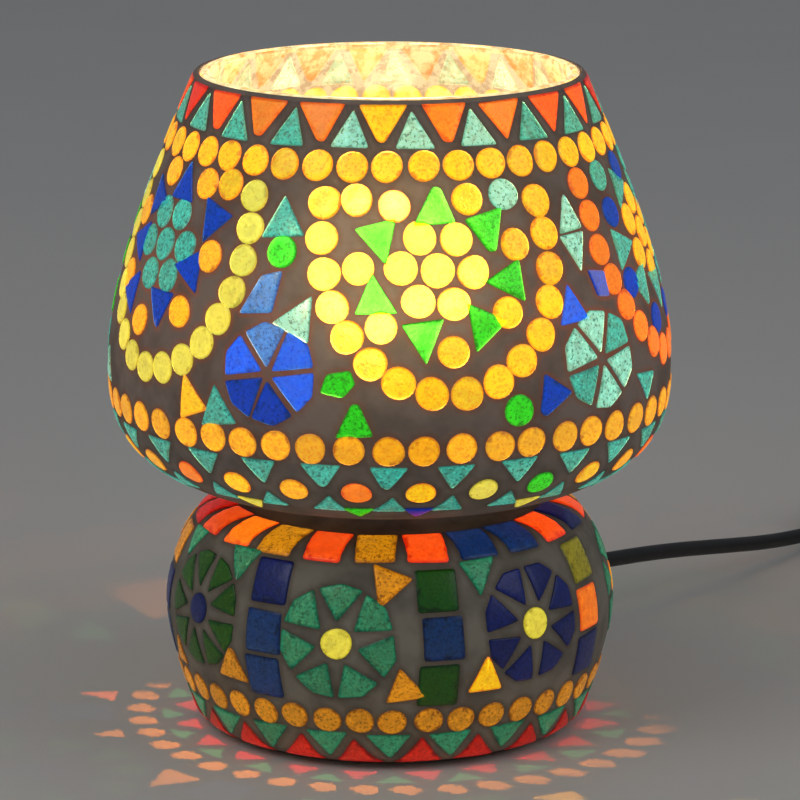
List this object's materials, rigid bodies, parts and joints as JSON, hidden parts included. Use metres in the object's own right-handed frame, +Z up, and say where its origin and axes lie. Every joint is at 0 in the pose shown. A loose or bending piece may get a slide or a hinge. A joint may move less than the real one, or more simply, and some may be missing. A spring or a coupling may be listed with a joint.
{
  "type": "mosaic glass table lamp",
  "caption": "Open-topped round glass uplighter with a narrow waist and squat base, covered in coloured glass mosaic in grey grout, with a small bulb and a corded rocker switch.",
  "frame": {"origin": "on the lamp's axis, on the surface it stands on", "axes": "+Z up along the lamp's axis, -Y towards the front, the cord leaves towards +X +Y"},
  "size_m": [0.3793, 0.3961, 0.2124],
  "materials": {
    "clear_glass": "clear blown glass",
    "shade_tiles": "coloured glass pieces in grey grout",
    "base_tiles": "coloured glass pieces in grey grout",
    "felt": "felt",
    "steel": "zinc plated",
    "sealant": "cured silicone",
    "black_plastic": "moulded",
    "pale_plastic": "moulded",
    "brass": "plain",
    "bulb_glass": "satin",
    "tungsten": "glowing",
    "rubber": "moulded",
    "cord_sheath": "smooth sheath"
  },
  "bodies": {
    "lamp": {"base_mosaic": "base_tiles", "base_plate": "steel", "centre_contact": "brass", "clamp_bar": "steel", "clamp_nut": "steel", "clamp_pad_left": "rubber", "clamp_pad_right": "rubber", "clamp_washer": "steel", "cord_coil": "cord_sheath", "cord_gland": "rubber", "cord_tie": "rubber", "cord_to_coil": "cord_sheath", "cord_to_plug": "cord_sheath", "cord_to_switch": "cord_sheath", "core_live": "brass", "core_neutral": "brass", "foot_ring": "felt", "gland_nut": "black_plastic", "glass_body": "clear_glass", "holder_base": "black_plastic", "holder_core": "pale_plastic", "holder_grub_screw": "steel", "holder_shell": "black_plastic", "inner_cord": "cord_sheath", "lock_washer": "steel", "nipple": "steel", "plate_sealant": "sealant", "plug_body": "black_plastic", "plug_pin_left": "brass", "plug_pin_right": "brass", "plug_sleeve": "rubber", "rocker_pin": "steel", "shade_mosaic": "shade_tiles", "side_contact": "brass", "spider": "steel", "spider_pad_1": "rubber", "spider_pad_2": "rubber", "spider_pad_3": "rubber", "switch_contact_left": "brass", "switch_contact_right": "brass", "switch_lower_housing": "black_plastic", "switch_screw_1": "steel", "switch_screw_2": "steel", "switch_upper_housing": "black_plastic", "terminal_screw_live": "brass", "terminal_screw_neutral": "brass", "thread_sleeve": "brass"},
    "bulb_tip": {"bulb_contact": "brass", "bulb_insulator": "black_plastic"},
    "bulb": {"bulb_cap": "brass", "bulb_glass": "bulb_glass", "bulb_stem": "bulb_glass", "lead_wire_left": "steel", "lead_wire_right": "steel", "filament": "tungsten"},
    "rocker": {"switch_rocker": "black_plastic"}
  },
  "joints": [
    {"name": "bulb_rise", "type": "slide", "parent": "lamp", "child": "bulb_tip", "axis": [0, 0, 1], "range_m": [0, 0.0142]},
    {"name": "bulb_turn", "type": "hinge", "parent": "bulb_tip", "child": "bulb", "pos_m": [0, 0, 0.0938], "axis": [0, 0, 1], "range_deg": [0, 1800]},
    {"name": "rocker_tip", "type": "hinge", "parent": "lamp", "child": "rocker", "pos_m": [0.18778, 0.24034, 0.0099], "axis": [-0.788, 0.6157, 0], "range_deg": [0, 16]}
  ],
  "couplings": [
    {"joint": "bulb_rise", "follows": "bulb_turn", "m_per_rad": 0.00044883}
  ]
}
